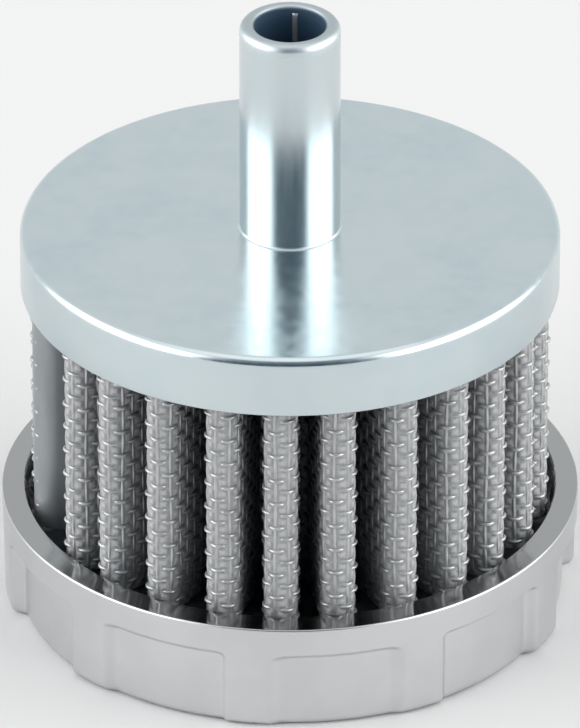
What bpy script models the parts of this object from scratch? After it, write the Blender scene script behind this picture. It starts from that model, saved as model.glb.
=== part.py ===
"""Small vent air filter: a pressed steel end cap with a hose stem, a pleated element of
gauze between two wire meshes, and a base cap with grip pockets.

Metres, +Z up. The origin is the centre of the base cap's underside, and the filter's axis
is Z. Bearings are in degrees round Z, from -Y towards +X.
"""
import math

import bmesh
import bpy

MM = 0.001

# Heights above the base's underside, from the base up
BASE_FLOOR_Z = 1.6
PACK_BOTTOM_Z = 7.95
COMPOUND_Z = 9.1
BASE_RIM_Z = 10.7
SKIRT_BOTTOM_Z = 32.8
PACK_TOP_Z = 35.95
CAP_TOP_Z = 38.8
STEM_TOP_Z = 60.5
GAP = 0.05

# Steel end cap, pressed from sheet
CAP_R = 25.5
CAP_SHEET = 0.65
CAP_EDGE_R = 1.0

# Hose stem
STEM_R = 4.76
STEM_BORE_R = 3.35
STEM_LIP_R = 0.6
STEM_FLANGE_R = 6.3
STEM_FLANGE_THICK = 0.9
BRAZE_LEG = 0.35

# Pleated element: one sheet folded into pleats that swell a little towards their outer
# folds, unevenly spaced, with its two ends side by side in a seam clip
PLEATS = 24
FIRST_PLEAT_AT = -59.0
PLEAT_STEP = 14.2
PLEAT_SWAY = 0.68
SWAY_STEP = 1.82
SWAY_START = 2.1
SEAM_AT = -79.5
PLEAT_TIP_R = 24.75
PLEAT_ROOT_R = 14.95
FOLD_R = 1.0
TIP_FOLD_R = 1.13
SHEET_HALF = 0.65
MESH_THICK = 0.3
TIP_STEPS = 6
ROOT_STEPS = 3

# Seam clip, which wraps the seam's outer edge and lies along one of its flanks
CLIP_TIP_R = 24.7
CLIP_ROOT_R = 18.5
CLIP_SHEET = 0.3
CLIP_PAST_TIP = -15.0
CLIP_STEPS = 6

# Perforated support tube and the disc that closes its lower end
CORE_R = 13.9
CORE_WALL = 0.7
CORE_COLUMNS = 32
CORE_ROWS = 9
DISC_THICK = 0.8

# Base cap
BASE_TOP_R = 27.5
BASE_FOOT_R = 27.35
BASE_INNER_R = 25.3
BASE_INNER_DRAFT = 0.3
BASE_RIM_RISE = 0.3
BASE_RIM_CHAMFER = 0.25
BASE_FOOT_CHAMFER = 0.6
BASE_FOOT_BEND_Z = 1.6
GRIPS = 10
FIRST_GRIP_AT = -80.5
GRIP_HALF_WIDTH = 3.8
POCKET_SLOPE = 2.0
POCKET_DEPTH = 0.65
POCKET_TOP_Z = 8.0
POCKET_CORNER = 0.8
POCKET_STEPS = 6

ROUND_STEPS = 64
STEM_STEPS = 32


def material(name, colour, roughness, metallic):
    """A plain Principled material."""
    made = bpy.data.materials.new(name)
    made.use_nodes = True
    shader = made.node_tree.nodes["Principled BSDF"]
    shader.inputs["Base Color"].default_value = (*colour, 1.0)
    shader.inputs["Roughness"].default_value = roughness
    shader.inputs["Metallic"].default_value = metallic
    return made


def add_object(name, bm, finish):
    """Turn a closed bmesh in millimetres into a named object in metres."""
    bmesh.ops.recalc_face_normals(bm, faces=bm.faces)
    bmesh.ops.scale(bm, vec=(MM, MM, MM), verts=bm.verts)
    mesh = bpy.data.meshes.new(name)
    bm.to_mesh(mesh)
    bm.free()
    mesh.materials.append(finish)
    mesh.shade_smooth()
    mesh.set_sharp_from_angle(angle=math.radians(35))
    made = bpy.data.objects.new(name, mesh)
    bpy.context.scene.collection.objects.link(made)
    return made


def loft(name, rings, finish, closed=False):
    """Skin a body over rings of points, closed on itself or with a flat face at each end."""
    bm = bmesh.new()
    loops = [[bm.verts.new(point) for point in ring] for ring in rings]
    count = len(loops[0])
    pairs = list(zip(loops, loops[1:]))
    if closed:
        pairs.append((loops[-1], loops[0]))
    else:
        bm.faces.new(loops[0])
        bm.faces.new(loops[-1])
    for low, high in pairs:
        for i in range(count):
            j = (i + 1) % count
            bm.faces.new((low[i], low[j], high[j], high[i]))
    return add_object(name, bm, finish)


def bearing(angle):
    """The outward direction at an angle in degrees round the axis, and the one beside it."""
    a = math.radians(angle)
    return (math.sin(a), -math.cos(a)), (math.cos(a), math.sin(a))


def along(angle, outward, sideways):
    """A point given by its distance out along a bearing, and its distance beside it."""
    out, side = bearing(angle)
    return (
        out[0] * outward + side[0] * sideways,
        out[1] * outward + side[1] * sideways,
    )


def turned(name, profile, finish, steps=ROUND_STEPS, solid=False):
    """Turn a profile of (radius, height) points round Z. A solid one ends in flat faces."""
    rings = []
    for radius, height in profile:
        angles = (360.0 * i / steps for i in range(steps))
        rings.append([(*along(angle, radius, 0.0), height) for angle in angles])
    return loft(name, rings, finish, closed=not solid)


def arc(centre, radius, start, end, steps):
    """Points on an arc in the (radius, height) plane, from one angle to another."""
    points = []
    for i in range(steps + 1):
        a = math.radians(start + (end - start) * i / steps)
        points.append((centre[0] + radius * math.cos(a), centre[1] + radius * math.sin(a)))
    return points


def make_steel_cap(finish):
    """Flat round cap with a rolled edge, a skirt and a hole for the stem."""
    hole = STEM_R + GAP
    edge = (CAP_R - CAP_EDGE_R, CAP_TOP_Z - CAP_EDGE_R)
    profile = [(hole, CAP_TOP_Z), (hole + 2 * BRAZE_LEG, CAP_TOP_Z)]
    profile += arc(edge, CAP_EDGE_R, 90, 0, 4)
    profile += [(CAP_R, SKIRT_BOTTOM_Z), (CAP_R - CAP_SHEET, SKIRT_BOTTOM_Z)]
    profile += arc(edge, CAP_EDGE_R - CAP_SHEET, 0, 90, 2)
    profile += [(hole, CAP_TOP_Z - CAP_SHEET)]
    return turned("steel_cap", profile, finish)


def make_stem(finish):
    """Tube with a rounded mouth, flanged under the cap."""
    under_cap = CAP_TOP_Z - CAP_SHEET - GAP
    lip_z = STEM_TOP_Z - STEM_LIP_R
    foot_z = under_cap - STEM_FLANGE_THICK
    profile = [(STEM_BORE_R, foot_z), (STEM_FLANGE_R, foot_z), (STEM_FLANGE_R, under_cap)]
    profile += [(STEM_R, under_cap)]
    profile += arc((STEM_R - STEM_LIP_R, lip_z), STEM_LIP_R, 0, 90, 3)
    profile += arc((STEM_BORE_R + STEM_LIP_R, lip_z), STEM_LIP_R, 90, 180, 3)
    return turned("stem_tube", profile, finish, STEM_STEPS)


def make_braze(finish):
    """Fillet of braze metal round the stem's foot."""
    inner = STEM_R + GAP
    low = CAP_TOP_Z + GAP
    hollow = BRAZE_LEG / 3
    profile = [(inner, low), (inner + BRAZE_LEG, low)]
    profile += [(inner + hollow, low + hollow), (inner, low + BRAZE_LEG)]
    return turned("stem_braze_ring", profile, finish, STEM_STEPS)


def make_upper_sealant(finish):
    """Ring of potting compound that bonds the element into the steel cap."""
    inner = STEM_FLANGE_R + 2 * GAP
    outer = CAP_R - CAP_SHEET - GAP
    low = PACK_TOP_Z + GAP
    high = CAP_TOP_Z - CAP_SHEET - GAP
    chamfer = CAP_EDGE_R - CAP_SHEET
    profile = [(inner, low), (outer, low), (outer, high - chamfer), (outer - chamfer, high)]
    profile += [(inner, high)]
    return turned("upper_sealant", profile, finish)


def fold_bearings():
    """The bearing of the seam, then of each pleat in turn, then of the seam again."""
    pleats = []
    for i in range(PLEATS):
        sway = PLEAT_SWAY * math.sin(SWAY_STEP * i + SWAY_START)
        pleats.append(FIRST_PLEAT_AT + PLEAT_STEP * i + sway)
    return [SEAM_AT] + pleats + [SEAM_AT + 360.0]


def tip_fold(angle, offset):
    """Outer fold of the pleat at a bearing, for a surface offset from the sheet's middle."""
    centre = PLEAT_TIP_R - TIP_FOLD_R - SHEET_HALF
    radius = TIP_FOLD_R + offset
    points = []
    for i in range(TIP_STEPS + 1):
        a = math.pi * (i / TIP_STEPS - 0.5)
        points.append(along(angle, centre + radius * math.cos(a), radius * math.sin(a)))
    return points


def root_fold(before, after, offset):
    """Inner fold between two pleats: an arc that meets both their flanks."""
    half = math.radians(after - before) / 2
    centre = (PLEAT_ROOT_R - FOLD_R) / (1 - math.sin(half))
    radius = centre * math.sin(half) - FOLD_R - offset
    sweep = math.pi / 2 - half
    middle = (before + after) / 2
    points = []
    for i in range(ROOT_STEPS + 1):
        a = sweep * (2 * i / ROOT_STEPS - 1)
        points.append(along(middle, centre - radius * math.cos(a), radius * math.sin(a)))
    return points


def sheet_outline(offset):
    """The pleated sheet seen from above, from one end at the seam round to the other."""
    angles = fold_bearings()
    end_r = CLIP_TIP_R - FOLD_R - SHEET_HALF - CLIP_SHEET
    points = [along(SEAM_AT, end_r, FOLD_R + offset)]
    for before, after in zip(angles, angles[1:]):
        points += root_fold(before, after, offset)
        if after != angles[-1]:
            points += tip_fold(after, offset)
    points.append(along(SEAM_AT, end_r, -FOLD_R - offset))
    return points


def make_wall(name, outside, inside, low, high, finish):
    """Upright wall between two outlines of equally many points."""
    rings = []
    for (ax, ay), (bx, by) in zip(outside, inside):
        rings.append([(ax, ay, low), (ax, ay, high), (bx, by, high), (bx, by, low)])
    return loft(name, rings, finish)


def make_layers(wire, gauze):
    """The sheet's four layers: wire mesh, two plies of gauze, wire mesh."""
    ply = SHEET_HALF - MESH_THICK - GAP
    layers = (
        ("outer_wire_mesh", SHEET_HALF, SHEET_HALF - MESH_THICK, wire),
        ("gauze_ply_outer", ply, GAP / 2, gauze),
        ("gauze_ply_inner", -GAP / 2, -ply, gauze),
        ("inner_wire_mesh", MESH_THICK - SHEET_HALF, -SHEET_HALF, wire),
    )
    for name, outer, inner, finish in layers:
        outside = sheet_outline(outer)
        inside = sheet_outline(inner)
        make_wall(name, outside, inside, PACK_BOTTOM_Z, PACK_TOP_Z, finish)


def clip_outline(half_width):
    """J-shaped line round the seam, at a distance from its middle plane."""
    centre = CLIP_TIP_R - FOLD_R - SHEET_HALF - CLIP_SHEET - GAP
    points = []
    for i in range(CLIP_STEPS + 1):
        a = math.radians(CLIP_PAST_TIP + (90.0 - CLIP_PAST_TIP) * i / CLIP_STEPS)
        out, side = half_width * math.cos(a), half_width * math.sin(a)
        points.append(along(SEAM_AT, centre + out, side))
    points.append(along(SEAM_AT, CLIP_ROOT_R, half_width))
    return points


def make_seam_clip(finish):
    """Folded strip over the sheet's two ends."""
    inner = FOLD_R + SHEET_HALF + GAP
    outside = clip_outline(inner + CLIP_SHEET)
    inside = clip_outline(inner)
    return make_wall("seam_clip", outside, inside, PACK_BOTTOM_Z, PACK_TOP_Z, finish)


def make_core(finish):
    """Support tube with staggered square perforations."""
    bm = bmesh.new()
    grid = []
    for r in (CORE_R - CORE_WALL, CORE_R):
        rows = []
        for k in range(CORE_ROWS + 1):
            height = PACK_BOTTOM_Z + (PACK_TOP_Z - PACK_BOTTOM_Z) * k / CORE_ROWS
            angles = (360.0 * i / CORE_COLUMNS for i in range(CORE_COLUMNS))
            rows.append([bm.verts.new((*along(a, r, 0.0), height)) for a in angles])
        grid.append(rows)
    is_hole = {
        (k, i): k % 2 == 1 and (i + k // 2 * 2) % 4 < 2
        for k in range(CORE_ROWS)
        for i in range(CORE_COLUMNS)
    }
    for (k, i), hole in is_hole.items():
        j = (i + 1) % CORE_COLUMNS
        if not hole:
            for rows in grid:
                bm.faces.new((rows[k][i], rows[k][j], rows[k + 1][j], rows[k + 1][i]))
        if hole != is_hole[(k, j)]:
            add_rung(bm, grid, (k, j), (k + 1, j))
        if k + 1 < CORE_ROWS and hole != is_hole[(k + 1, i)]:
            add_rung(bm, grid, (k + 1, i), (k + 1, j))
        if k == 0:
            add_rung(bm, grid, (0, i), (0, j))
        if k == CORE_ROWS - 1:
            add_rung(bm, grid, (CORE_ROWS, i), (CORE_ROWS, j))
    return add_object("core_tube", bm, finish)


def add_rung(bm, grid, start, end):
    """A face through the tube's wall, between its inner and its outer grid."""
    inner, outer = grid
    (k0, i0), (k1, i1) = start, end
    bm.faces.new((inner[k0][i0], inner[k1][i1], outer[k1][i1], outer[k0][i0]))


def make_closing_disc(finish):
    """Disc that closes the support tube's lower end."""
    radius = CORE_R - CORE_WALL - 2 * GAP
    profile = [(radius, PACK_BOTTOM_Z), (radius, PACK_BOTTOM_Z + DISC_THICK)]
    return turned("closing_disc", profile, finish, CORE_COLUMNS, solid=True)


def make_lower_sealant(finish):
    """Potting compound in the base: a bed under the element and a lip round it."""
    low = BASE_FLOOR_Z + GAP
    bed = PACK_BOTTOM_Z - GAP
    outer = BASE_INNER_R - 4 * GAP
    inner = PLEAT_TIP_R + GAP
    foot = outer - BASE_INNER_DRAFT
    profile = [(foot, low), (outer, COMPOUND_Z), (inner, COMPOUND_Z), (inner, bed)]
    return turned("lower_sealant", profile, finish, solid=True)


def base_columns():
    """(bearing, 0 on a grip land to 1 in a pocket) for each column of the base's wall."""
    pitch = 360.0 / GRIPS
    start = GRIP_HALF_WIDTH + POCKET_SLOPE
    width = pitch - 2 * start
    columns = []
    for grip in range(GRIPS):
        at = FIRST_GRIP_AT + pitch * grip
        columns += [(at - GRIP_HALF_WIDTH, 0.0), (at + GRIP_HALF_WIDTH, 0.0)]
        for i in range(POCKET_STEPS):
            columns.append((at + start + width * i / (POCKET_STEPS - 1), 1.0))
    return columns


def base_ring(radius, height, pockets=False):
    """One ring of the base, cut back to the pockets' upright floors where asked."""
    outside = max(radius - BASE_FOOT_R, 0.0)
    ring = []
    for angle, depth in base_columns():
        cut = depth * (POCKET_DEPTH + outside) if pockets else 0.0
        ring.append((*along(angle, radius - cut, 0.0), height))
    return ring


def make_base_cap(finish):
    """Cup with a flat rim and a ring of grip lands with pockets between them."""
    draft = (BASE_TOP_R - BASE_FOOT_R) / BASE_RIM_Z
    rings = [
        base_ring(BASE_INNER_R - BASE_INNER_DRAFT, BASE_FLOOR_Z),
        base_ring(BASE_INNER_R, BASE_RIM_Z + BASE_RIM_RISE),
        base_ring(BASE_TOP_R - BASE_RIM_CHAMFER, BASE_RIM_Z),
    ]
    for height in (BASE_RIM_Z - BASE_RIM_CHAMFER, POCKET_TOP_Z):
        rings.append(base_ring(BASE_FOOT_R + draft * height, height))
    for height in (POCKET_TOP_Z - POCKET_CORNER, BASE_FOOT_BEND_Z, BASE_FOOT_CHAMFER):
        rings.append(base_ring(BASE_FOOT_R + draft * height, height, True))
    rings.append(base_ring(BASE_FOOT_R - BASE_FOOT_CHAMFER, 0.0, True))
    return loft("base_cap", rings, finish)


def main():
    for old in list(bpy.data.objects):
        bpy.data.objects.remove(old)
    zinc = material("zinc_plated_steel", (0.62, 0.68, 0.72), 0.28, 1.0)
    braze = material("braze_metal", (0.72, 0.74, 0.75), 0.35, 1.0)
    wire = material("aluminium_wire", (0.60, 0.61, 0.62), 0.35, 1.0)
    gauze = material("cotton_gauze", (0.42, 0.43, 0.43), 0.95, 0.0)
    clip = material("seam_strip_metal", (0.48, 0.50, 0.52), 0.45, 0.8)
    core = material("core_steel", (0.50, 0.51, 0.52), 0.4, 1.0)
    compound = material("potting_compound", (0.10, 0.11, 0.12), 0.25, 0.0)
    cast = material("satin_cast_metal", (0.66, 0.66, 0.68), 0.38, 0.9)
    make_steel_cap(zinc)
    make_stem(zinc)
    make_braze(braze)
    make_upper_sealant(compound)
    make_layers(wire, gauze)
    make_seam_clip(clip)
    make_core(core)
    make_closing_disc(core)
    make_lower_sealant(compound)
    make_base_cap(cast)


main()
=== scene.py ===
"""Small vent air filter: the fine surfaces, materials, light and camera.

Lengths are in millimetres and become metres when a mesh is made. +Z is up, and the
filter's axis is Z. Bearings are in degrees round Z, from -Y towards +X.
"""
import math

import bmesh
import bpy
import numpy as np
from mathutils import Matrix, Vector


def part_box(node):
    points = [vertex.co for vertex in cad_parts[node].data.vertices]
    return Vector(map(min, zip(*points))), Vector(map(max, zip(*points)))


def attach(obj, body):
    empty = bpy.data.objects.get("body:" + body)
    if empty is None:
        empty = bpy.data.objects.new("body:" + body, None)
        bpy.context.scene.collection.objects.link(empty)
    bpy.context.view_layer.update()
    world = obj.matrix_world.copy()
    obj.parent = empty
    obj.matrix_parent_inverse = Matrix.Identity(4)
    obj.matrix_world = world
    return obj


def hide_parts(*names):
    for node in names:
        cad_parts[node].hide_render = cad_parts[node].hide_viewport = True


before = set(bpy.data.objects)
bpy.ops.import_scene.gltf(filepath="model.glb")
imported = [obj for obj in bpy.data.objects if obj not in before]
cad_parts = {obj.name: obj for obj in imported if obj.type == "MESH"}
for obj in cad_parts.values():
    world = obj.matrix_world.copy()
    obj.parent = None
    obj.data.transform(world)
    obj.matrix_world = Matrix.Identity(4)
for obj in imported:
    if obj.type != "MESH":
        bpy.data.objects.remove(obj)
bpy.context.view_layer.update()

MM = 0.001
BODY = "root"


def node_box(node):
    """A CAD node's lowest and highest corners in millimetres."""
    low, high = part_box(node)
    return Vector(low) / MM, Vector(high) / MM


CAP_LOW, CAP_HIGH = node_box("steel_cap")
STEM_LOW, STEM_HIGH = node_box("stem_tube")
PACK_LOW, PACK_HIGH = node_box("outer_wire_mesh")

# Steel cap and stem
CAP_R = 25.5
CAP_SHEET = 0.65
CAP_EDGE_R = 0.85
SKIRT_LIP_R = 0.2
STEM_R = 4.76
STEM_BORE_R = 3.35
MOUTH_OUTER_R = 0.8
MOUTH_INNER_R = 0.5
STEM_GAP = 0.05
STEM_FLANGE_R = 6.3
FLANGE_FILLET = 0.55
BRAZE_LEG = 0.2
WELD_AT = 172.0
WELD_R = 0.45
WELD_SUNK = 0.75
WELD_RIPPLE = 0.02
WELD_STOP = 0.75

# Pleated element
PLEATS = 24
FIRST_PLEAT_AT = -59.0
PLEAT_STEP = 14.2
PLEAT_SWAY = 0.68
SWAY_STEP = 1.82
SWAY_START = 2.1
SEAM_AT = -79.5
PLEAT_TIP_R = 24.75
PLEAT_ROOT_R = 14.95
FOLD_R = 1.0
TIP_FOLD_R = 1.13
SHEET_HALF = 0.65

# Wire mesh and gauze
WIRE_PITCH = 1.28
WIRE_R = 0.19
UPRIGHT_RISE = 0.05
CROSS_RISE = 0.26
MESH_OFFSET = 0.29
TOP_WIRE_BELOW = 0.5
WIRE_PAST_TOP = 0.4
WIRE_PAST_FOOT = 0.6
WIRE_DRIFT = 0.07
WIRE_LIFT = 0.06
WIRE_SIDES = 6
STEPS_PER_PITCH = 4
GAUZE_STEP = 0.35
GAUZE_THREAD = 0.32
OUTER_GAUZE_OFFSET = 0.40
OUTER_GAUZE_THICK = 0.15
INNER_GAUZE_OFFSET = -0.05
INNER_GAUZE_THICK = 0.25
# Radii of the painted shade between the pleats: full colour outside LIT_R, darkest inside the
# shade radii.
LIT_R = 23.8
WIRE_SHADE_R = 18.5
GAUZE_SHADE_R = 19.0

# Strip over the seam
STRIP_THICK = 0.3
STRIP_GAP = 0.05
STRIP_LIP_AT = -15
STRIP_END_R = 18.5
STRIP_EDGE = 0.08

# Compound
SEALANT_Z = 9.1
SEALANT_SAG = 0.3
SEALANT_FOOT_Z = 1.7
SEALANT_INNER_R = 13.5
WETTING_RISE = 0.45
WETTING_REACH = 0.35
CUP_RISE = 0.25
CUP_REACH = 0.2

# Base
BASE_TOP_R = 27.5
BASE_FOOT_R = 27.35
BASE_FOOT_BEND_R = 0.8
BASE_INNER_R = 25.3
BASE_FLOOR_Z = 1.6
BASE_RIM_Z = 10.7
BASE_DRAFT = (BASE_TOP_R - BASE_FOOT_R) / BASE_RIM_Z
BASE_RIM_RISE = 0.3
RIM_INNER_RISE = 0.24
RIM_OUTER_RISE = 0.07
RIM_LIP_R = 0.2
GRIPS = 10
GRIP_PITCH = 360.0 / GRIPS
FIRST_GRIP_AT = -80.5
GRIP_HALF = 1.95
NEAR_SIDE = 0.6
FAR_SIDE = 1.5
POCKET_DEPTH = 0.35
SIDE_POCKET_DEEPER = 0.95
POCKET_TOP_Z = 8.0
POCKET_FILLET = 0.9

# Light, floor and camera
SIDE_PANELS_AT = 77
SIDE_PANEL_HALF = 33
GAP_HALF = 36
TENT_GREY = (0.80, 0.82, 0.83)
PANEL_WHITE = (3.6, 3.6, 3.6)
ROOF_WHITE = (1.25, 1.25, 1.25)
GAP_LOW_BLUE = (0.025, 0.047, 0.075)
GAP_HIGH_BLUE = (0.14, 0.20, 0.25)
BACKDROP = (0.97, 0.97, 0.97)
FLOOR_HALF = 30000.0
FLOOR_GAP = 0.02
CAMERA_DISTANCE = 1200.0
CAMERA_ELEVATION = 30.3
CAMERA_LENS = 625.0
AIM_BELOW_CAP = 15.2


def bearing(angle):
    """Outward and sideways unit vectors at an angle in degrees round the axis."""
    a = math.radians(angle)
    return np.array((math.sin(a), -math.cos(a))), np.array((math.cos(a), math.sin(a)))


def add_mesh(name, points, faces, finish, flat_angle=None):
    """A mesh object from points in millimetres, shaded smooth up to an angle in degrees."""
    mesh = bpy.data.meshes.new(name)
    mesh.from_pydata((np.asarray(points) * MM).tolist(), [], faces)
    mesh.materials.append(finish)
    mesh.shade_smooth()
    if flat_angle is not None:
        mesh.set_sharp_from_angle(angle=math.radians(flat_angle))
    mesh.validate()
    made = bpy.data.objects.new(name, mesh)
    bpy.context.scene.collection.objects.link(made)
    return made


def grid_faces(rows, columns, wrap_rows=False):
    """Quads of a grid of points stored row by row, whose rows are closed rings."""
    i = np.arange(rows if wrap_rows else rows - 1)[:, None]
    j = np.arange(columns)[None, :]
    i2, j2 = (i + 1) % rows, (j + 1) % columns
    corners = [i * columns + j, i * columns + j2, i2 * columns + j2, i2 * columns + j]
    return np.stack([c + 0 * corners[0] for c in corners], axis=-1).reshape(-1, 4)


def arc(centre, radius, start, end, steps):
    """Points on an arc in the (radius, height) plane."""
    a = np.radians(np.linspace(start, end, steps + 1))
    return np.stack([centre[0] + radius * np.cos(a), centre[1] + radius * np.sin(a)], 1)


def turned(name, profile, finish, steps, flat_angle=40):
    """A closed profile of (radius, height) points, run anticlockwise, turned round Z."""
    profile = np.vstack([np.asarray(part, float).reshape(-1, 2) for part in profile])
    a = np.linspace(0, 2 * np.pi, steps, endpoint=False)
    points = np.empty((len(profile), steps, 3))
    points[..., 0] = profile[:, :1] * np.sin(a)
    points[..., 1] = -profile[:, :1] * np.cos(a)
    points[..., 2] = profile[:, 1:]
    faces = grid_faces(len(profile), steps, wrap_rows=True)
    return add_mesh(name, points.reshape(-1, 3), faces.tolist(), finish, flat_angle)


# Materials --------------------------------------------------------------------------


class Nodes:
    """A material's node tree, with short calls for the nodes used here."""

    def __init__(self, name, **shader):
        self.material = bpy.data.materials.new(name)
        self.material.use_nodes = True
        self.tree = self.material.node_tree
        self.shader = self.tree.nodes["Principled BSDF"]
        for socket, value in shader.items():
            self.shader.inputs[socket.replace("_", " ")].default_value = value
        self.place = self.tree.nodes.new("ShaderNodeTexCoord").outputs["Object"]

    def link(self, source, target):
        self.tree.links.new(source, target)

    def node(self, kind, **inputs):
        made = self.tree.nodes.new(kind)
        for socket, value in inputs.items():
            target = made.inputs[socket.replace("_", " ")]
            if isinstance(value, bpy.types.NodeSocket):
                self.link(value, target)
            else:
                target.default_value = value
        return made

    def noise(self, size_mm, detail=3.0, stretch=(1, 1, 1)):
        """Noise from 0 to 1 with features of about a size, squeezed along the axes."""
        spread = self.node("ShaderNodeMapping", Vector=self.place, Scale=stretch)
        scale = 1.0 / (size_mm * MM)
        source = spread.outputs["Vector"]
        return self.node("ShaderNodeTexNoise", Vector=source, Scale=scale, Detail=detail)

    def ramp(self, source, low, high, start=0.35, end=0.65):
        """Map a value to a range; low and high are both numbers."""
        made = self.tree.nodes.new("ShaderNodeMapRange")
        made.interpolation_type = "SMOOTHSTEP"
        self.link(source, made.inputs["Value"])
        limits = {"From Min": start, "From Max": end, "To Min": low, "To Max": high}
        for socket, value in limits.items():
            made.inputs[socket].default_value = value
        return made.outputs["Result"]

    def mix(self, factor, low, high):
        """A colour between two, each a colour or a socket."""
        made = self.tree.nodes.new("ShaderNodeMix")
        made.data_type = "RGBA"
        self.link(factor, made.inputs[0])
        for socket, value in ((made.inputs[6], low), (made.inputs[7], high)):
            if isinstance(value, bpy.types.NodeSocket):
                self.link(value, socket)
            else:
                socket.default_value = (*value, 1.0)
        return made.outputs[2]

    def maths(self, operation, first, second=0.0):
        made = self.tree.nodes.new("ShaderNodeMath")
        made.operation = operation
        for socket, value in zip(made.inputs, (first, second)):
            if isinstance(value, bpy.types.NodeSocket):
                self.link(value, socket)
            else:
                socket.default_value = value
        return made.outputs[0]

    def split_place(self):
        """The distance from the axis and the height of each point."""
        place = self.node("ShaderNodeSeparateXYZ", Vector=self.place)
        square = [self.maths("MULTIPLY", place.outputs[k], place.outputs[k]) for k in (0, 1)]
        return self.maths("SQRT", self.maths("ADD", *square)), place.outputs["Z"]

    def fold_shade_mask(self, shade_r):
        """1 at the folds' outer edges, falling to 0 deep between the pleats: the mask of the
        painted shade there.
        """
        radius, _ = self.split_place()
        return self.ramp(radius, 0.0, 1.0, shade_r * MM, LIT_R * MM)

    def between(self, distance, pitch, middle):
        """0 at the wires, 1 halfway between them, for wires a pitch apart."""
        turn = 2 * math.pi / pitch
        shifted = self.maths("MULTIPLY", self.maths("SUBTRACT", distance, middle), turn)
        return self.ramp(self.maths("COSINE", shifted), 0.0, 1.0, -1.0, 1.0)

    def colour(self, source):
        self.link(source, self.shader.inputs["Base Color"])

    def roughness(self, source):
        self.link(source, self.shader.inputs["Roughness"])

    def bump(self, height, depth_mm, strength=1.0):
        """Relief of a depth in millimetres from a height of 0 to 1."""
        made = self.node("ShaderNodeBump", Strength=strength, Distance=depth_mm * MM)
        self.link(height, made.inputs["Height"])
        previous = self.shader.inputs["Normal"].links
        if previous:
            self.link(previous[0].from_socket, made.inputs["Normal"])
        self.link(made.outputs["Normal"], self.shader.inputs["Normal"])


def zinc_plate(name, roughness=0.225):
    """Bright zinc over steel: bluish, softly mottled, with faint fine marks."""
    m = Nodes(name, Metallic=1.0)
    cloud = m.noise(7.0, 4.0).outputs["Fac"]
    fine = m.noise(1.6, 5.0).outputs["Fac"]
    tone = m.mix(m.ramp(cloud, 0, 1), (0.57, 0.66, 0.695), (0.62, 0.695, 0.715))
    m.colour(m.mix(m.ramp(fine, 0, 0.3), tone, (0.64, 0.71, 0.735)))
    m.roughness(m.ramp(fine, roughness - 0.02, roughness + 0.03))
    m.bump(fine, 0.0004, 0.4)
    return m.material


def drawn_tube():
    """The stem's plating: smoother along its length, duller on the cut mouth, dark blue inside
    the bore as painted shade.
    """
    m = Nodes("drawn_zinc_tube", Metallic=1.0)
    cloud = m.noise(6.0, 4.0, (1, 1, 0.3)).outputs["Fac"]
    fine = m.noise(0.7, 5.0, (1, 1, 0.12)).outputs["Fac"]
    tone = m.mix(m.ramp(cloud, 0, 1), (0.59, 0.665, 0.69), (0.64, 0.70, 0.715))
    radius, height = m.split_place()
    inside = m.ramp(radius, 1.0, 0.0, (STEM_BORE_R + 0.02) * MM, (STEM_BORE_R + 0.2) * MM)
    mouth = m.ramp(height, 0, 1, (STEM_HIGH.z - 1.6) * MM, (STEM_HIGH.z - 0.6) * MM)
    cut = m.ramp(height, 0, 1, (STEM_HIGH.z - 0.5) * MM, (STEM_HIGH.z - 0.1) * MM)
    tone = m.mix(cut, tone, (0.47, 0.53, 0.55))
    # Painted shade: the bore's inside takes a near-black blue colour.
    m.colour(m.mix(inside, tone, (0.032, 0.07, 0.118)))
    m.link(m.ramp(inside, 1.0, 0.2, 0.0, 1.0), m.shader.inputs["Metallic"])
    rough = m.ramp(fine, 0.2, 0.24)
    rough = m.maths("ADD", rough, m.maths("MULTIPLY", mouth, 0.2))
    m.roughness(m.maths("ADD", rough, m.maths("MULTIPLY", inside, 0.3)))
    m.bump(fine, 0.001, 0.4)
    return m.material


def wire_metal():
    """Aluminium wire under a thin coat of clear oil, with painted shade deep between the pleats.
    """
    m = Nodes("aluminium_wire", Metallic=0.6, Coat_Weight=0.4, Coat_Roughness=0.15)
    patch = m.noise(1.6, 3.0).outputs["Fac"]
    fine = m.noise(0.12, 2.0, (1, 1, 3)).outputs["Fac"]
    tone = m.mix(m.ramp(patch, 0, 1), (0.41, 0.42, 0.425), (0.50, 0.51, 0.515))
    # Painted shade: the wires' colour darkens deep between the pleats.
    m.colour(m.mix(m.fold_shade_mask(WIRE_SHADE_R), (0.19, 0.194, 0.198), tone))
    m.roughness(m.ramp(fine, 0.28, 0.4))
    m.bump(fine, 0.01, 0.6)
    return m.material


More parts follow.
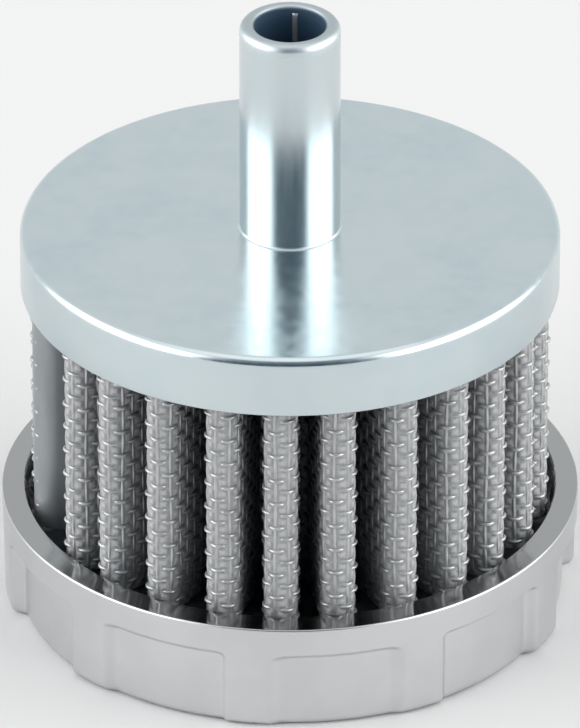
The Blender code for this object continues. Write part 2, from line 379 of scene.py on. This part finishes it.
def gauze_cloth(name, mesh):
    """Open cotton gauze, oiled grey, which bulges a little through the wire mesh, with painted
    shade beside the wires and deep between the pleats.
    """
    m = Nodes(name, Roughness=0.7, Sheen_Weight=0.15)
    weave = m.node("ShaderNodeUVMap")
    weave.uv_map = "weave"
    parts = m.node("ShaderNodeSeparateXYZ", Vector=weave.outputs["UV"])
    turn = 2 * math.pi / GAUZE_THREAD
    along = m.maths("SINE", m.maths("MULTIPLY", parts.outputs["X"], turn))
    up = m.maths("SINE", m.maths("MULTIPLY", parts.outputs["Y"], turn))
    threads = m.ramp(m.maths("MAXIMUM", along, up), 0.0, 1.0, -0.4, 1.0)
    fluff = m.noise(0.3, 4.0).outputs["Fac"]
    bulge = m.maths(
        "MULTIPLY",
        m.between(parts.outputs["X"], mesh.pitch, 0.0),
        m.between(parts.outputs["Y"], WIRE_PITCH, wire_rows()[0] + WIRE_PITCH / 2),
    )
    tone = m.mix(threads, (0.37, 0.375, 0.38), (0.43, 0.435, 0.435))
    tone = m.mix(m.ramp(fluff, 0, 0.6), tone, (0.46, 0.46, 0.455))
    # Painted shade: the gauze is darker in the hollows beside the wires and lighter where it
    # bulges between them.
    hollow_shade = m.mix(m.ramp(fluff, 0, 0.4), (0.29, 0.295, 0.30), tone)
    tone = m.mix(bulge, hollow_shade, tone)
    # Painted shade: the gauze's colour darkens deep between the pleats.
    m.colour(m.mix(m.fold_shade_mask(GAUZE_SHADE_R), (0.10, 0.102, 0.105), tone))
    m.bump(bulge, 0.2, 1.0)
    m.bump(threads, 0.02, 0.4)
    m.bump(fluff, 0.03, 0.5)
    return m.material


def strip_metal():
    """Smooth satin strip over the seam."""
    m = Nodes("seam_strip", Metallic=0.55)
    cloud = m.noise(3.0, 3.0, (1, 1, 0.3)).outputs["Fac"]
    fine = m.noise(0.2, 3.0).outputs["Fac"]
    m.colour(m.mix(m.ramp(cloud, 0, 1), (0.27, 0.29, 0.30), (0.31, 0.33, 0.34)))
    m.roughness(m.ramp(fine, 0.42, 0.52))
    m.bump(fine, 0.004, 0.4)
    return m.material


def compound():
    """Dark set potting compound with a glossy skin."""
    m = Nodes("potting_compound", Specular_IOR_Level=0.22)
    cloud = m.noise(2.5, 4.0).outputs["Fac"]
    m.colour(m.mix(m.ramp(cloud, 0, 1), (0.012, 0.013, 0.015), (0.03, 0.033, 0.037)))
    m.roughness(m.ramp(cloud, 0.08, 0.2))
    m.bump(cloud, 0.04, 0.3)
    return m.material


def cast_metal():
    """Satin cast metal, with a glossier turned rim whose colour is darkened as painted shade."""
    m = Nodes("satin_cast_metal", Metallic=1.0)
    cloud = m.noise(5.0, 4.0).outputs["Fac"]
    fine = m.noise(0.35, 5.0).outputs["Fac"]
    wall = m.mix(m.ramp(cloud, 0, 1), (0.625, 0.632, 0.645), (0.655, 0.66, 0.67))
    _, height = m.split_place()
    rim = m.ramp(height, 0.0, 1.0, (BASE_RIM_Z - 0.03) * MM, (BASE_RIM_Z + 0.05) * MM)
    # Painted shade: the rim's top is coloured darker than the wall.
    m.colour(m.mix(rim, wall, (0.405, 0.41, 0.407)))
    wall_rough = m.ramp(fine, 0.29, 0.33)
    m.roughness(m.maths("SUBTRACT", wall_rough, m.maths("MULTIPLY", rim, 0.2)))
    m.bump(fine, 0.0012, 0.4)
    return m.material


def plain_steel(name, metallic=1.0):
    """Dull bare steel."""
    m = Nodes(name, Metallic=metallic)
    fine = m.noise(0.8, 4.0).outputs["Fac"]
    m.colour(m.mix(m.ramp(fine, 0, 1), (0.36, 0.37, 0.38), (0.44, 0.45, 0.46)))
    m.roughness(m.ramp(fine, 0.35, 0.5))
    m.bump(fine, 0.01, 0.4)
    return m.material


# Steel cap and stem -----------------------------------------------------------------


def make_cap(finish):
    """Pressed cap: flat top, rolled edge, short skirt with a softened lower edge."""
    top, foot = CAP_HIGH.z, CAP_LOW.z
    edge = (CAP_R - CAP_EDGE_R, top - CAP_EDGE_R)
    hole = STEM_R + STEM_GAP
    inner = CAP_R - CAP_SHEET
    profile = [
        [(hole, top - CAP_SHEET), (hole + 5, top - CAP_SHEET)],
        arc(edge, CAP_EDGE_R - CAP_SHEET, 90, 0, 5),
        [(inner, foot + 3)],
        arc((inner + SKIRT_LIP_R, foot + SKIRT_LIP_R), SKIRT_LIP_R, 180, 270, 3),
        arc((CAP_R - SKIRT_LIP_R, foot + SKIRT_LIP_R), SKIRT_LIP_R, 270, 360, 4),
        [(CAP_R, foot + 2), (CAP_R, top - 2)],
        arc(edge, CAP_EDGE_R, 0, 90, 12),
        [(CAP_R - 2.5, top), (CAP_R - 8, top), (CAP_R - 14, top), (hole + 1.5, top)],
        [(hole, top)],
    ]
    return turned("cap_shell", profile, finish, 256)


def make_stem(finish):
    """Drawn tube with a rounded mouth, flanged under the cap."""
    top = STEM_HIGH.z
    under = CAP_HIGH.z - CAP_SHEET - STEM_GAP
    profile = [
        [(STEM_BORE_R, STEM_LOW.z), (STEM_FLANGE_R - 0.2, STEM_LOW.z)],
        [(STEM_FLANGE_R, STEM_LOW.z + 0.2), (STEM_FLANGE_R, under)],
        [(STEM_R + FLANGE_FILLET, under), (STEM_R, under + 0.02), (STEM_R, CAP_HIGH.z + 2)],
        [(STEM_R, top - 6)],
        arc((STEM_R - MOUTH_OUTER_R, top - MOUTH_OUTER_R), MOUTH_OUTER_R, 0, 90, 10),
        arc((STEM_BORE_R + MOUTH_INNER_R, top - MOUTH_INNER_R), MOUTH_INNER_R, 90, 180, 8),
        [(STEM_BORE_R, top - 5), (STEM_BORE_R, CAP_HIGH.z)],
    ]
    return turned("stem_shell", profile, finish, 128, 50)


def make_weld(finish):
    """The low bead of the tube's own weld, down the inside of the bore."""
    out, side = bearing(WELD_AT)
    z = np.linspace(STEM_LOW.z + 0.1, STEM_HIGH.z - WELD_STOP, 60)
    radius = STEM_BORE_R + WELD_SUNK * WELD_R + WELD_RIPPLE * np.sin(9 * z)
    centres = np.column_stack([radius[:, None] * out, z])[None]
    sides = np.broadcast_to(np.append(side, 0.0), centres.shape)
    return make_tubes("bore_weld", centres, sides, WELD_R, finish)


def make_braze(finish):
    """Hollow fillet of braze metal in the corner between stem and cap."""
    low = CAP_HIGH.z
    centre = (STEM_R + BRAZE_LEG, low + BRAZE_LEG)
    profile = [[(STEM_R - 0.02, low - 0.02)], arc(centre, BRAZE_LEG, 270, 180, 6)]
    return turned("braze_fillet", profile, finish, 128, 80)


# Pleated element --------------------------------------------------------------------


def fold_bearings():
    """The seam's bearing, then each pleat's, then the seam's again."""
    order = np.arange(PLEATS)
    sway = PLEAT_SWAY * np.sin(SWAY_STEP * order + SWAY_START)
    pleats = FIRST_PLEAT_AT + PLEAT_STEP * order + sway
    return [SEAM_AT, *pleats, SEAM_AT + 360.0]


def tip_fold(angle, offset, fold_r=TIP_FOLD_R, start=-90, end=90):
    """Outer fold of a pleat, for a surface offset from the sheet's middle."""
    out, side = bearing(angle)
    a = np.radians(np.linspace(start, end, 25))[:, None]
    radius = fold_r + offset
    centre = PLEAT_TIP_R - fold_r - SHEET_HALF
    return (centre + radius * np.cos(a)) * out + radius * np.sin(a) * side


def root_fold(before, after, offset):
    """Inner fold between two pleats, an arc that meets both their flanks."""
    half = math.radians(after - before) / 2
    out, side = bearing((before + after) / 2)
    centre = (PLEAT_ROOT_R - FOLD_R) / (1 - math.sin(half))
    radius = centre * math.sin(half) - FOLD_R - offset
    a = np.linspace(half - math.pi / 2, math.pi / 2 - half, 19)[:, None]
    return (centre - radius * np.cos(a)) * out + radius * np.sin(a) * side


def sheet_line(offset):
    """The folded sheet seen from above, from the seam's tip round to the same tip."""
    angles = fold_bearings()
    parts = [tip_fold(SEAM_AT, offset, FOLD_R, 0, 90)]
    for before, after in zip(angles, angles[1:]):
        parts.append(root_fold(before, after, offset))
        if after != angles[-1]:
            parts.append(tip_fold(after, offset))
    parts.append(tip_fold(SEAM_AT, offset, FOLD_R, -90, 0))
    return np.vstack(parts)


class FoldedSheet:
    """The sheet's surface at an offset, by distance along it."""

    def __init__(self, offset):
        self.line = sheet_line(offset)
        self.normal = sheet_line(offset + 1.0) - self.line
        gaps = np.linalg.norm(np.diff(self.line, axis=0), axis=1)
        self.reach = np.concatenate([[0.0], np.cumsum(gaps)])
        self.length = float(self.reach[-1])
        self.wires = 2 * round(self.length / WIRE_PITCH / 2)
        self.pitch = self.length / self.wires

    def at(self, distance):
        """Points on the line and unit normals towards the dirty side."""
        place = [np.interp(distance, self.reach, self.line[:, k]) for k in (0, 1)]
        normal = [np.interp(distance, self.reach, self.normal[:, k]) for k in (0, 1)]
        normal = np.stack(normal, -1)
        normal /= np.linalg.norm(normal, axis=-1, keepdims=True)
        return np.stack(place, -1), normal


def make_tubes(name, centres, side, radius, finish):
    """Round wires with closed ends. centres and side are (wires, points, 3) arrays."""
    run = np.gradient(centres, axis=1)
    run /= np.linalg.norm(run, axis=-1, keepdims=True)
    up = np.cross(run, side)
    up /= np.linalg.norm(up, axis=-1, keepdims=True)
    side = np.cross(up, run)
    wires, steps = centres.shape[:2]
    a = np.linspace(0, 2 * np.pi, WIRE_SIDES, endpoint=False)[:, None]
    ring = np.cos(a) * side[:, :, None] + np.sin(a) * up[:, :, None]
    points = (centres[:, :, None] + radius * ring).reshape(-1, 3)
    start = np.arange(wires) * steps * WIRE_SIDES
    faces = (start[:, None, None] + grid_faces(steps, WIRE_SIDES)).reshape(-1, 4)
    ends = np.arange(WIRE_SIDES)
    last = (steps - 1) * WIRE_SIDES
    caps = [list(s + ends[::-1]) for s in start] + [list(s + last + ends) for s in start]
    return add_mesh(name, points, faces.tolist() + caps, finish)


def wire_rows():
    """Heights of the wires that run along the sheet."""
    rows = int((PACK_HIGH.z - SEALANT_Z) / WIRE_PITCH) + 1
    return PACK_HIGH.z - TOP_WIRE_BELOW - WIRE_PITCH * np.arange(rows)


def make_wires(sheet, finish):
    """Plain-woven wire mesh along the folds: upright wires, and wires along the sheet.

    Each wire wanders a little, with its own random start.
    """
    count, pitch = sheet.wires, sheet.pitch
    heights = wire_rows()
    rng = np.random.default_rng(7)
    pieces = []

    steps = int((heights[0] - heights[-1] + WIRE_PITCH) / WIRE_PITCH * STEPS_PER_PITCH)
    z = np.linspace(heights[-1] - WIRE_PAST_FOOT, heights[0] + WIRE_PAST_TOP, steps)
    order = np.arange(count)
    drift = WIRE_DRIFT * np.sin(z[None] * 0.35 + rng.uniform(0, 6.3, (count, 1)))
    place, normal = sheet.at((order[:, None] + 0.5) * pitch + drift)
    phase = np.cos(np.pi * (z - heights[0]) / WIRE_PITCH)
    rise = UPRIGHT_RISE * phase[None] * np.where(order % 2, -1, 1)[:, None]
    flat = place + normal * rise[..., None]
    centres = np.concatenate([flat, np.broadcast_to(z, flat.shape[:2])[..., None]], -1)
    side = np.stack([-normal[..., 1], normal[..., 0], 0 * normal[..., 0]], -1)
    for word, part in zip("abc", np.array_split(order, 3)):
        name = f"upright_wires_{word}"
        pieces.append(make_tubes(name, centres[part], side[part], WIRE_R, finish))

    distance = np.linspace(0, sheet.length, count * STEPS_PER_PITCH + 1)
    place, normal = sheet.at(distance)
    rows = np.arange(len(heights))
    wave = np.cos(np.pi * (distance / pitch - 0.5))
    strain = 0.9 + 0.1 * np.sin(distance[None] * 0.61 + rng.uniform(0, 6.3, (len(rows), 1)))
    rise = -CROSS_RISE * strain * wave[None] * np.where(rows % 2, -1, 1)[:, None]
    flat = place[None] + normal[None] * rise[..., None]
    lift = WIRE_LIFT * np.sin(distance[None] * 0.23 + rng.uniform(0, 6.3, (len(rows), 1)))
    centres = np.concatenate([flat, (heights[:, None] + lift)[..., None]], -1)
    side = np.broadcast_to(np.array((0.0, 0.0, 1.0)), centres.shape)
    for word, part in zip("abc", np.array_split(rows, 3)):
        name = f"cross_wires_{word}"
        pieces.append(make_tubes(name, centres[part], side[part], WIRE_R, finish))
    return pieces


def fix_normals(obj):
    """Turn every face outward."""
    bm = bmesh.new()
    bm.from_mesh(obj.data)
    bmesh.ops.recalc_face_normals(bm, faces=bm.faces)
    bm.to_mesh(obj.data)
    bm.free()


def upright_band(name, front, back, finish):
    """A thin closed band between two outlines seen from above, as high as the pleats."""
    low, high = PACK_LOW.z, PACK_HIGH.z
    rings = []
    for outline, height in ((front, low), (front, high), (back, high), (back, low)):
        rings.append(np.column_stack([outline, np.full(len(outline), height)]))
    points = np.stack(rings, 1).reshape(-1, 3)
    last = len(points) - 4
    ends = [[0, 1, 2, 3], [last + 3, last + 2, last + 1, last]]
    made = add_mesh(name, points, grid_faces(len(front), 4).tolist() + ends, finish, 40)
    fix_normals(made)
    return made, points


def make_gauze(name, sheet, offset, thickness, finish):
    """One ply of gauze, a thin closed sheet that follows the folds.

    Its UV map holds the distance along the sheet and the height, in millimetres.
    """
    distance = np.linspace(0, sheet.length, int(sheet.length / GAUZE_STEP))
    place, normal = sheet.at(distance)
    front = place + normal * (offset - MESH_OFFSET)
    made, points = upright_band(name, front, front - normal * thickness, finish)
    layer = made.data.uv_layers.new(name="weave")
    along = np.repeat(distance, 4)
    corners = np.empty(len(made.data.loops), int)
    made.data.loops.foreach_get("vertex_index", corners)
    uv = np.column_stack([along[corners], points[corners, 2]])
    layer.data.foreach_set("uv", uv.ravel())
    return made


def make_strip(finish):
    """Smooth folded strip that covers the seam's outer fold and one flank."""
    out, side = bearing(SEAM_AT)
    inner = FOLD_R + SHEET_HALF + STRIP_GAP
    centre = PLEAT_TIP_R - inner - STRIP_THICK - STRIP_GAP
    a = np.radians(np.linspace(STRIP_LIP_AT, 90, 22))
    leg = np.linspace(centre, STRIP_END_R, 12)[1:]
    outlines = []
    for half in (inner + STRIP_THICK, inner):
        across = np.concatenate([half * np.sin(a), np.full(len(leg), half)])
        outward = np.concatenate([centre + half * np.cos(a), leg])
        outlines.append(outward[:, None] * out + across[:, None] * side)
    made, _ = upright_band("seam_cover", *outlines, finish)
    bevel = made.modifiers.new("edge", "BEVEL")
    bevel.width, bevel.segments, bevel.limit_method = STRIP_EDGE * MM, 2, "ANGLE"
    return made


# Compound and base ------------------------------------------------------------------


def make_sealant(finish):
    """Compound round the pleats' feet, drawn up where it wets the mesh and the cup."""
    open_radii = np.linspace(SEALANT_INNER_R, BASE_INNER_R - 0.35, 56)
    radii = np.append(open_radii, BASE_INNER_R + 0.02)
    turns = np.linspace(0, 2 * np.pi, 720, endpoint=False)
    r, a = np.meshgrid(radii, turns, indexing="ij")
    x, y = r * np.sin(a), -r * np.cos(a)
    near = np.full(r.shape, np.inf)
    for part in np.array_split(sheet_line(SHEET_HALF), PLEATS):
        gap = np.hypot(x[..., None] - part[:, 0], y[..., None] - part[:, 1]).min(-1)
        near = np.minimum(near, gap)
    rise = WETTING_RISE * np.exp(-near / WETTING_REACH)
    rise += CUP_RISE * np.exp(-(BASE_INNER_R - r) / CUP_REACH)
    wave = 0.08 * np.sin(5 * a + 0.4 * r) + 0.05 * np.sin(11 * a - r)
    top = np.stack([x, y, SEALANT_Z - SEALANT_SAG + rise + wave], -1)
    foot = np.stack([x, y, np.full(r.shape, SEALANT_FOOT_Z)], -1)
    points = np.concatenate([top[::-1], foot]).reshape(-1, 3)
    faces = grid_faces(2 * len(radii), len(turns), wrap_rows=True)
    made = add_mesh("compound_bed", points, faces.tolist(), finish, 60)
    fix_normals(made)
    return made


def smooth(edge0, edge1, x):
    """Smooth step from 0 to 1 between two edges."""
    t = np.clip((x - edge0) / (edge1 - edge0), 0, 1)
    return t * t * (3 - 2 * t)


def pocket(angle, height):
    """How far the wall is cut back, from 0 on a land to 1 in a pocket.

    A land's side away from the front and the back slopes more gently, as in a casting
    drawn off to the front and the back.
    """
    beside = (angle - FIRST_GRIP_AT + GRIP_PITCH / 2) % GRIP_PITCH - GRIP_PITCH / 2
    across = np.radians(np.abs(beside)) * BASE_TOP_R - GRIP_HALF
    far = beside * np.sin(np.radians(2 * angle)) < 0
    across = np.where(far, across * NEAR_SIDE / FAR_SIDE, across)
    down = POCKET_TOP_Z - height
    corner = np.hypot(np.minimum(across - POCKET_FILLET, 0), np.minimum(down - POCKET_FILLET, 0))
    inside = np.minimum(np.minimum(across, down), POCKET_FILLET)
    at_corner = (across < POCKET_FILLET) & (down < POCKET_FILLET)
    return smooth(0.0, NEAR_SIDE, np.where(at_corner, POCKET_FILLET - corner, inside))


def base_outline():
    """The cup's outline as (radius, height, cut), where a cut of 1 may be a pocket."""
    top = BASE_RIM_Z
    rim = [
        (BASE_INNER_R - 0.3, BASE_FLOOR_Z),
        (BASE_INNER_R - 0.12, top),
        (BASE_INNER_R, top + BASE_RIM_RISE - 0.06),
        (BASE_INNER_R + 0.08, top + BASE_RIM_RISE),
        (BASE_INNER_R + 0.5, top + RIM_INNER_RISE),
        (BASE_TOP_R - 0.7, top + RIM_OUTER_RISE),
        *arc((BASE_TOP_R - RIM_LIP_R, top - 0.15), RIM_LIP_R, 90, 0, 6),
    ]
    above = np.linspace(top - 0.35, POCKET_TOP_Z + 0.4, 6)
    pocket_edge = np.linspace(POCKET_TOP_Z + 0.2, POCKET_TOP_Z - 1.4, 14)
    below = np.linspace(6.0, BASE_FOOT_BEND_R, 8)
    wall = [(BASE_FOOT_R, z) for z in (*above, *pocket_edge, *below)]
    bend = (BASE_FOOT_R - BASE_FOOT_BEND_R, BASE_FOOT_BEND_R)
    wall += list(arc(bend, BASE_FOOT_BEND_R, 0, -90, 8)[1:])
    rows = [(radius, height, 0) for radius, height in rim]
    rows += [(radius + BASE_DRAFT * height, height, 1) for radius, height in wall]
    underside = [(20.0, 0.0, 0), (8.0, 0.0, 0)]
    return rows + underside


def make_base(finish):
    """Cup with a flat bright rim, and grip lands with pockets between them."""
    beside = np.concatenate([np.linspace(-10, 10, 61), np.linspace(11, 25, 12)])
    angle = (FIRST_GRIP_AT + GRIP_PITCH * np.arange(GRIPS)[:, None] + beside).ravel()
    a = np.radians(angle)
    deepest = POCKET_DEPTH + SIDE_POCKET_DEEPER * np.sin(a) ** 4
    outline = base_outline()
    points = []
    for radius, height, cut in outline:
        r = radius - cut * (deepest + BASE_DRAFT * height) * pocket(angle, height)
        points.append(np.column_stack([r * np.sin(a), -r * np.cos(a), 0 * a + height]))
    points = np.vstack(points)
    count = len(angle)
    faces = grid_faces(len(outline), count).tolist()
    faces += [list(range(count)), list(range(len(points) - 1, len(points) - count - 1, -1))]
    made = add_mesh("base_cup", points, faces, finish, 35)
    fix_normals(made)
    return made


# Stage ------------------------------------------------------------------------------


def direction_mask(w, angle, half_width, soft):
    """1 where a direction's bearing is within half_width of an angle, with soft edges."""
    out, _ = bearing(angle)
    flat = w.node("ShaderNodeVectorMath", Vector=w.place)
    flat.operation = "MULTIPLY"
    flat.inputs[1].default_value = (1, 1, 0)
    unit = w.node("ShaderNodeVectorMath", Vector=flat.outputs["Vector"])
    unit.operation = "NORMALIZE"
    facing = w.node("ShaderNodeVectorMath", Vector=unit.outputs["Vector"])
    facing.operation = "DOT_PRODUCT"
    facing.inputs[1].default_value = (out[0], out[1], 0)
    inner = math.cos(math.radians(max(half_width - soft, 0)))
    outer = math.cos(math.radians(half_width + soft))
    return w.ramp(facing.outputs["Value"], 0.0, 1.0, outer, inner)


class WorldNodes(Nodes):
    """The world's node tree, with the same short calls."""

    def __init__(self):
        world = bpy.data.worlds.new("studio")
        world.use_nodes = True
        bpy.context.scene.world = world
        self.tree = world.node_tree
        self.shader = self.tree.nodes["Background"]
        self.place = self.tree.nodes.new("ShaderNodeTexCoord").outputs["Generated"]


def make_light():
    """A white tent: brighter panels at both sides and above, a gap behind the camera."""
    w = WorldNodes()
    height = w.node("ShaderNodeSeparateXYZ", Vector=w.place).outputs["Z"]
    above = w.ramp(height, 0.0, 1.0, 0.82, 0.95)
    right = direction_mask(w, SIDE_PANELS_AT, SIDE_PANEL_HALF, 9)
    left = direction_mask(w, -SIDE_PANELS_AT, SIDE_PANEL_HALF, 9)
    sides = w.maths("MAXIMUM", right, left)
    low = w.ramp(height, 1.0, 0.0, 0.62, 0.86)
    sides = w.maths("MULTIPLY", sides, low)
    front = direction_mask(w, 0, GAP_HALF, 6)
    gap = w.maths("MULTIPLY", front, w.ramp(height, 1, 0, 0.82, 0.95))
    tent = w.mix(sides, TENT_GREY, PANEL_WHITE)
    tent = w.mix(above, tent, ROOF_WHITE)
    dark = w.mix(w.ramp(height, 0, 1, 0.3, 0.65), GAP_LOW_BLUE, GAP_HIGH_BLUE)
    tent = w.mix(gap, tent, dark)
    seen = w.tree.nodes.new("ShaderNodeLightPath").outputs["Is Camera Ray"]
    w.link(w.mix(seen, tent, BACKDROP), w.shader.inputs["Color"])


def make_floor():
    """A large pale floor."""
    m = Nodes("floor", Roughness=0.7)
    grain = m.noise(400.0, 2.0).outputs["Fac"]
    m.colour(m.mix(m.ramp(grain, 0, 1), (0.65, 0.645, 0.64), (0.67, 0.665, 0.66)))
    signs = ((-1, -1), (1, -1), (1, 1), (-1, 1))
    corners = [(x * FLOOR_HALF, y * FLOOR_HALF, 0) for x, y in signs]
    floor = add_mesh("floor", corners, [(0, 1, 2, 3)], m.material)
    floor.location.z = -FLOOR_GAP * MM


def make_camera():
    """A long lens, looking down from the front at 30 degrees."""
    target = Vector((0, 0, CAP_HIGH.z - AIM_BELOW_CAP)) * MM
    e = math.radians(CAMERA_ELEVATION)
    back = Vector((0, -math.cos(e), math.sin(e)))
    data = bpy.data.cameras.new("camera")
    data.lens = CAMERA_LENS
    data.clip_start, data.clip_end = 0.05, 100.0
    camera = bpy.data.objects.new("camera", data)
    camera.location = target + back * CAMERA_DISTANCE * MM
    camera.rotation_mode = "QUATERNION"
    camera.rotation_quaternion = (-back).to_track_quat("-Z", "Y")
    bpy.context.scene.collection.objects.link(camera)
    bpy.context.scene.camera = camera


# Assembly ---------------------------------------------------------------------------


def stand_for(piece, node):
    """A fine piece takes a CAD node's place."""
    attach(piece, BODY)
    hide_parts(node)


def finish_node(node, finish):
    """A CAD node stays and takes a better material."""
    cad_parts[node].data.materials.clear()
    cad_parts[node].data.materials.append(finish)


def main():
    bpy.context.scene.view_settings.view_transform = "Standard"
    make_camera()
    make_light()
    make_floor()

    zinc = zinc_plate("zinc_plated_steel")
    drawn = drawn_tube()
    braze = zinc_plate("braze_metal", 0.4)
    wire = wire_metal()
    steel, dark = plain_steel("core_steel"), compound()

    stand_for(make_cap(zinc), "steel_cap")
    stand_for(make_stem(drawn), "stem_tube")
    stand_for(make_weld(plain_steel("stem_weld", 0.5)), "stem_tube")
    stand_for(make_braze(braze), "stem_braze_ring")
    sheet = FoldedSheet(MESH_OFFSET)
    for piece in make_wires(sheet, wire):
        stand_for(piece, "outer_wire_mesh")
    gauze = gauze_cloth("cotton_gauze", sheet)
    plies = (
        ("gauze_ply_outer", OUTER_GAUZE_OFFSET, OUTER_GAUZE_THICK),
        ("gauze_ply_inner", INNER_GAUZE_OFFSET, INNER_GAUZE_THICK),
    )
    for node, offset, thickness in plies:
        ply = make_gauze(node + "_cloth", sheet, offset, thickness, gauze)
        stand_for(ply, node)
    stand_for(make_strip(strip_metal()), "seam_clip")
    stand_for(make_sealant(dark), "lower_sealant")
    stand_for(make_base(cast_metal()), "base_cap")
    finish_node("inner_wire_mesh", steel)
    finish_node("core_tube", steel)
    finish_node("closing_disc", steel)
    finish_node("upper_sealant", dark)


main()
